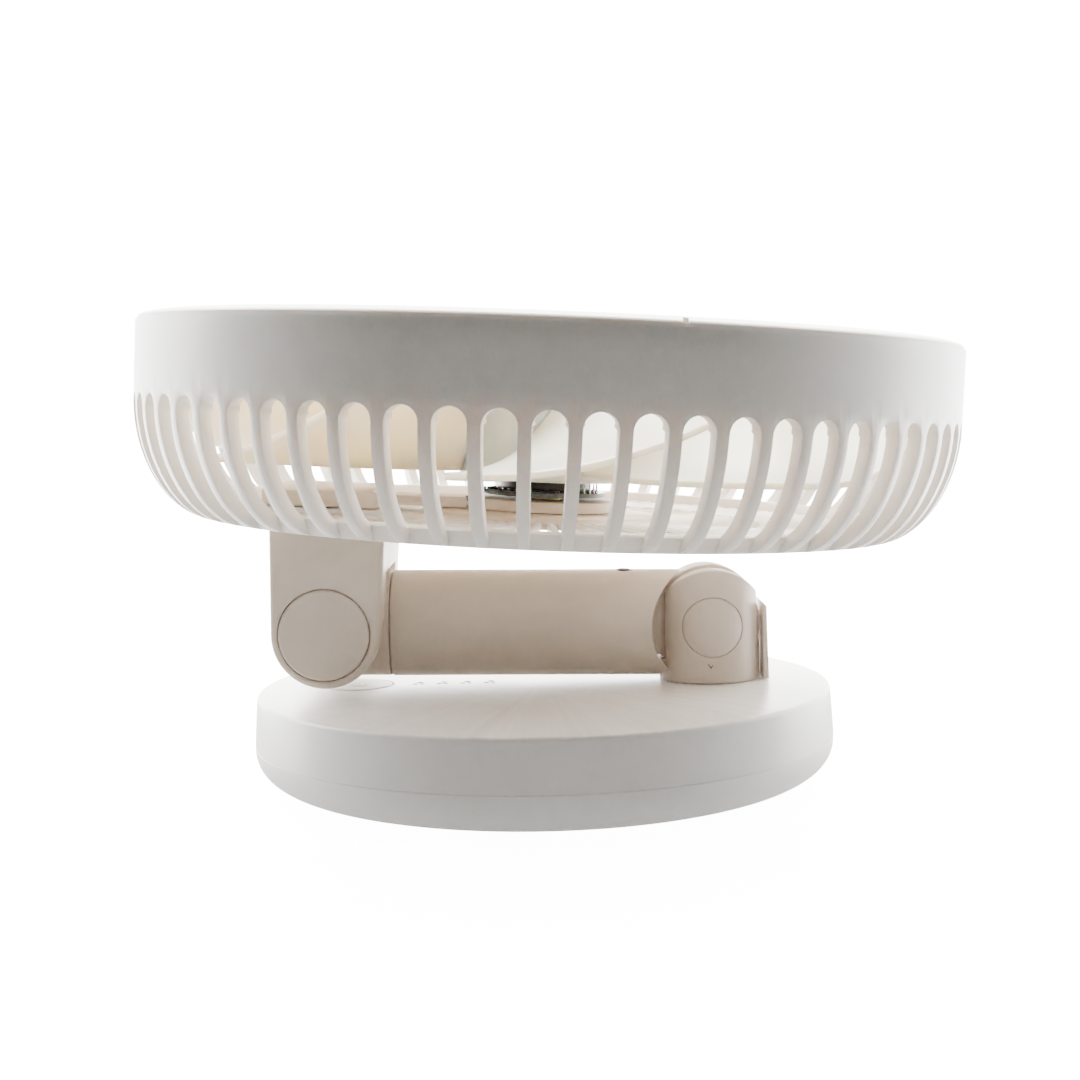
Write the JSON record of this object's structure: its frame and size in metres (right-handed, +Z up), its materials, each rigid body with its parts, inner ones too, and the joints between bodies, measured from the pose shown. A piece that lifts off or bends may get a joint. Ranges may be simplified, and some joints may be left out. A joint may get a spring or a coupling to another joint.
{
  "type": "foldable desk fan",
  "caption": "Round desk fan that folds flat: slotted cage head on a hinged arm over a round base with a push button.",
  "frame": {"origin": "centre of the foot pad's underside, where the fan stands on the table", "axes": "+Z up; the folded arm runs along X with the pedestal at +X; hinge axes run along Y"},
  "size_m": [0.2075, 0.2068, 0.1217],
  "materials": {
    "shell_plastic": "warm white moulded plastic",
    "inner_plastic": "beige moulded plastic",
    "blade_plastic": "warm white plastic, a little glossier",
    "black_plastic": "black plastic",
    "grey_rubber": "dark grey rubber",
    "circuit_board": "dark glass-fibre board",
    "steel": "plated steel",
    "brass": "turned brass",
    "copper_wire": "enamelled copper wire",
    "ferrite": "bonded ferrite magnet",
    "battery_wrap": "shrink wrapped cell",
    "indicator_lens": "tinted lens"
  },
  "bodies": {
    "base": {"base_bottom_cover": "shell_plastic", "base_top_cover": "shell_plastic", "foot_pad": "grey_rubber", "counterweight_ring": "steel", "battery_cell_1": "battery_wrap", "battery_cell_2": "battery_wrap", "control_board": "circuit_board", "charging_board": "circuit_board", "charging_socket": "steel", "button_switch": "black_plastic", "base_screw_1": "steel", "base_screw_2": "steel", "base_screw_3": "steel", "base_screw_4": "steel", "indicator_window_1": "indicator_lens", "indicator_window_2": "indicator_lens", "indicator_window_3": "indicator_lens", "indicator_window_4": "indicator_lens", "pedestal_column": "shell_plastic", "pedestal_rear_cover": "shell_plastic", "pedestal_cap_front": "shell_plastic", "pedestal_cap_back": "shell_plastic", "pedestal_hinge_pin": "steel", "pedestal_hinge_nut": "steel", "pedestal_washer_front": "steel", "pedestal_washer_back": "steel", "pedestal_screw_front": "steel", "pedestal_screw_back": "steel"},
    "button": {"power_button": "shell_plastic"},
    "arm": {"arm_tube": "shell_plastic", "arm_hinge_tongue": "shell_plastic", "arm_head_knuckle": "shell_plastic", "arm_screw_plug": "black_plastic"},
    "head": {"neck_bracket": "shell_plastic", "neck_cap_front": "shell_plastic", "neck_cap_back": "shell_plastic", "neck_hinge_pin": "steel", "neck_hinge_nut": "steel", "neck_washer_front": "steel", "neck_washer_back": "steel", "cage_rim": "shell_plastic", "cage_base": "shell_plastic", "front_grille": "shell_plastic", "grille_cap": "shell_plastic", "motor_mount": "inner_plastic", "bearing_tube": "brass", "bearing_lower": "brass", "bearing_upper": "brass", "motor_board": "circuit_board", "stator_insulator": "black_plastic", "stator_core": "steel", "winding_lower": "copper_wire", "winding_upper": "copper_wire", "wire_cover": "inner_plastic", "motor_leads": "black_plastic"},
    "rotor": {"fan_rotor": "blade_plastic", "magnet_ring": "ferrite", "motor_shaft": "steel"}
  },
  "joints": [
    {"name": "arm_hinge", "type": "hinge", "parent": "base", "child": "arm", "pos_m": [0.0431, 0, 0.0396], "axis": [0, 1, 0], "range_deg": [0, 65]},
    {"name": "head_hinge", "type": "hinge", "parent": "arm", "child": "head", "pos_m": [-0.0535, 0, 0.0415], "axis": [0, -1, 0], "range_deg": [0, 95]},
    {"name": "rotor_spin", "type": "hinge", "parent": "head", "child": "rotor", "pos_m": [0.00278, 0, 0.0959], "axis": [0.0614, 0, 0.9981], "continuous": true},
    {"name": "button_press", "type": "slide", "parent": "base", "child": "button", "axis": [0, 0, -1], "range_m": [0, 0.0008], "stiffness_N_per_m": 1500, "springref_m": -0.0002}
  ]
}
